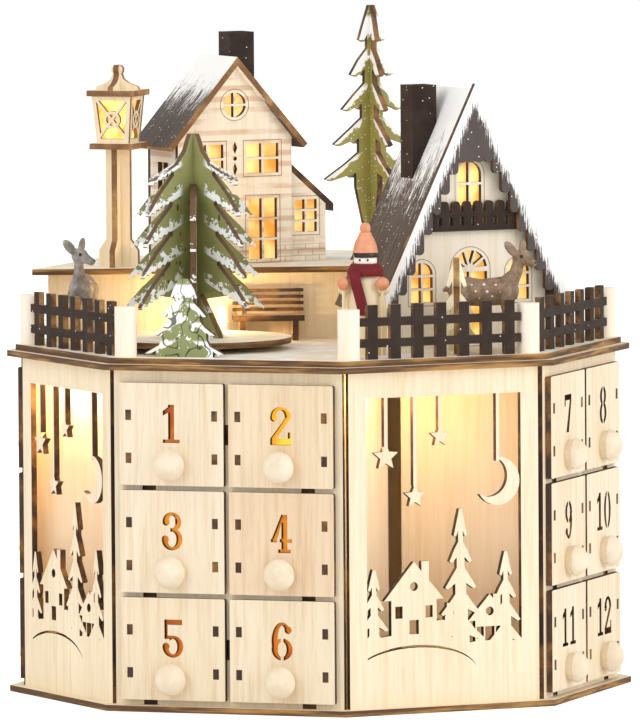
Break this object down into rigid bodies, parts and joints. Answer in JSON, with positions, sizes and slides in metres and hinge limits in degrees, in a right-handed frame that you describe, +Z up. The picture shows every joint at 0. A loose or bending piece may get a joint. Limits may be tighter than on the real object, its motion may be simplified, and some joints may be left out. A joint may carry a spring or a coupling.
{
  "type": "wooden advent calendar",
  "caption": "Eight-sided plywood advent calendar with numbered sliding drawers, cut-out scene panels and a lit village of houses, firs and a turning plate on its snow deck.",
  "frame": {"origin": "centre of the base underside, in the middle of the overall bounds in X and Y", "axes": "+Z up, -Y out of the face with drawers 1 to 6, +X out of the face with drawers 7 to 12"},
  "size_m": [0.3034, 0.3034, 0.343],
  "materials": {
    "birch_plywood": "raw laser-cut birch plywood with burnt brown edges",
    "snow_plywood": "plywood whitened with dusted paint",
    "dark_plywood": "plywood with dark brown paint and brushed white snow",
    "green_plywood": "plywood with olive paint and white snow",
    "turned_beech": "plain turned wood",
    "cast_resin": "painted cast resin",
    "painted_beech": "turned wood, painted",
    "red_felt": "felt",
    "white_nylon": "moulded nylon",
    "lamp_lens": "warm white lamp lens",
    "black_plastic": "moulded",
    "cell_jacket": "plain metal jacket"
  },
  "bodies": {
    "carcass": {"base_plate": "birch_plywood", "carcass_top": "birch_plywood", "face_frames": "birch_plywood", "scene_panels": "birch_plywood", "rack_walls": "birch_plywood", "drawer_shelves": "birch_plywood", "drawer_dividers": "birch_plywood", "platform_walls": "birch_plywood", "house_walls": "birch_plywood", "house_lean_to": "birch_plywood", "chalet_walls": "birch_plywood", "lamp_post": "birch_plywood", "lantern": "birch_plywood", "bench": "birch_plywood", "snow_deck": "snow_plywood", "platform_top": "snow_plywood", "house_roof": "dark_plywood", "chimneys": "dark_plywood", "chalet_roof": "dark_plywood", "chalet_fascia": "dark_plywood", "chalet_balcony": "dark_plywood", "fence_panels": "dark_plywood", "tall_fir": "green_plywood", "small_fir": "green_plywood", "front_fir": "green_plywood", "fence_posts": "turned_beech", "deer_pair": "cast_resin", "doll": "painted_beech", "doll_scarf": "red_felt", "turntable_bush": "white_nylon", "led_lamps": "lamp_lens", "battery_holder": "black_plastic", "battery_cells": "cell_jacket"},
    "drawer_01_body": {"drawer_01": "birch_plywood"},
    "drawer_02_body": {"drawer_02": "birch_plywood"},
    "drawer_03_body": {"drawer_03": "birch_plywood"},
    "drawer_04_body": {"drawer_04": "birch_plywood"},
    "drawer_05_body": {"drawer_05": "birch_plywood"},
    "drawer_06_body": {"drawer_06": "birch_plywood"},
    "drawer_07_body": {"drawer_07": "birch_plywood"},
    "drawer_08_body": {"drawer_08": "birch_plywood"},
    "drawer_09_body": {"drawer_09": "birch_plywood"},
    "drawer_10_body": {"drawer_10": "birch_plywood"},
    "drawer_11_body": {"drawer_11": "birch_plywood"},
    "drawer_12_body": {"drawer_12": "birch_plywood"},
    "drawer_13_body": {"drawer_13": "birch_plywood"},
    "drawer_14_body": {"drawer_14": "birch_plywood"},
    "drawer_15_body": {"drawer_15": "birch_plywood"},
    "drawer_16_body": {"drawer_16": "birch_plywood"},
    "drawer_17_body": {"drawer_17": "birch_plywood"},
    "drawer_18_body": {"drawer_18": "birch_plywood"},
    "drawer_19_body": {"drawer_19": "birch_plywood"},
    "drawer_20_body": {"drawer_20": "birch_plywood"},
    "drawer_21_body": {"drawer_21": "birch_plywood"},
    "drawer_22_body": {"drawer_22": "birch_plywood"},
    "drawer_23_body": {"drawer_23": "birch_plywood"},
    "drawer_24_body": {"drawer_24": "birch_plywood"},
    "turntable": {"turning_plate": "birch_plywood", "turning_fir": "green_plywood"},
    "switch_slider": {"power_switch": "black_plastic"}
  },
  "joints": [
    {"name": "drawer_01_slide", "type": "slide", "parent": "carcass", "child": "drawer_01_body", "axis": [0, -1, 0], "range_m": [0, 0.06]},
    {"name": "drawer_02_slide", "type": "slide", "parent": "carcass", "child": "drawer_02_body", "axis": [0, -1, 0], "range_m": [0, 0.06]},
    {"name": "drawer_03_slide", "type": "slide", "parent": "carcass", "child": "drawer_03_body", "axis": [0, -1, 0], "range_m": [0, 0.06]},
    {"name": "drawer_04_slide", "type": "slide", "parent": "carcass", "child": "drawer_04_body", "axis": [0, -1, 0], "range_m": [0, 0.06]},
    {"name": "drawer_05_slide", "type": "slide", "parent": "carcass", "child": "drawer_05_body", "axis": [0, -1, 0], "range_m": [0, 0.06]},
    {"name": "drawer_06_slide", "type": "slide", "parent": "carcass", "child": "drawer_06_body", "axis": [0, -1, 0], "range_m": [0, 0.06]},
    {"name": "drawer_07_slide", "type": "slide", "parent": "carcass", "child": "drawer_07_body", "axis": [1, 0, 0], "range_m": [0, 0.06]},
    {"name": "drawer_08_slide", "type": "slide", "parent": "carcass", "child": "drawer_08_body", "axis": [1, 0, 0], "range_m": [0, 0.06]},
    {"name": "drawer_09_slide", "type": "slide", "parent": "carcass", "child": "drawer_09_body", "axis": [1, 0, 0], "range_m": [0, 0.06]},
    {"name": "drawer_10_slide", "type": "slide", "parent": "carcass", "child": "drawer_10_body", "axis": [1, 0, 0], "range_m": [0, 0.06]},
    {"name": "drawer_11_slide", "type": "slide", "parent": "carcass", "child": "drawer_11_body", "axis": [1, 0, 0], "range_m": [0, 0.06]},
    {"name": "drawer_12_slide", "type": "slide", "parent": "carcass", "child": "drawer_12_body", "axis": [1, 0, 0], "range_m": [0, 0.06]},
    {"name": "drawer_13_slide", "type": "slide", "parent": "carcass", "child": "drawer_13_body", "axis": [0, 1, 0], "range_m": [0, 0.06]},
    {"name": "drawer_14_slide", "type": "slide", "parent": "carcass", "child": "drawer_14_body", "axis": [0, 1, 0], "range_m": [0, 0.06]},
    {"name": "drawer_15_slide", "type": "slide", "parent": "carcass", "child": "drawer_15_body", "axis": [0, 1, 0], "range_m": [0, 0.06]},
    {"name": "drawer_16_slide", "type": "slide", "parent": "carcass", "child": "drawer_16_body", "axis": [0, 1, 0], "range_m": [0, 0.06]},
    {"name": "drawer_17_slide", "type": "slide", "parent": "carcass", "child": "drawer_17_body", "axis": [0, 1, 0], "range_m": [0, 0.06]},
    {"name": "drawer_18_slide", "type": "slide", "parent": "carcass", "child": "drawer_18_body", "axis": [0, 1, 0], "range_m": [0, 0.06]},
    {"name": "drawer_19_slide", "type": "slide", "parent": "carcass", "child": "drawer_19_body", "axis": [-1, 0, 0], "range_m": [0, 0.06]},
    {"name": "drawer_20_slide", "type": "slide", "parent": "carcass", "child": "drawer_20_body", "axis": [-1, 0, 0], "range_m": [0, 0.06]},
    {"name": "drawer_21_slide", "type": "slide", "parent": "carcass", "child": "drawer_21_body", "axis": [-1, 0, 0], "range_m": [0, 0.06]},
    {"name": "drawer_22_slide", "type": "slide", "parent": "carcass", "child": "drawer_22_body", "axis": [-1, 0, 0], "range_m": [0, 0.06]},
    {"name": "drawer_23_slide", "type": "slide", "parent": "carcass", "child": "drawer_23_body", "axis": [-1, 0, 0], "range_m": [0, 0.06]},
    {"name": "drawer_24_slide", "type": "slide", "parent": "carcass", "child": "drawer_24_body", "axis": [-1, 0, 0], "range_m": [0, 0.06]},
    {"name": "turntable_spin", "type": "hinge", "parent": "carcass", "child": "turntable", "pos_m": [-0.041, -0.072, 0.182], "axis": [0, 0, 1], "continuous": true},
    {"name": "switch_slide", "type": "slide", "parent": "carcass", "child": "switch_slider", "axis": [1, 0, 0], "range_m": [0, 0.0035]}
  ]
}
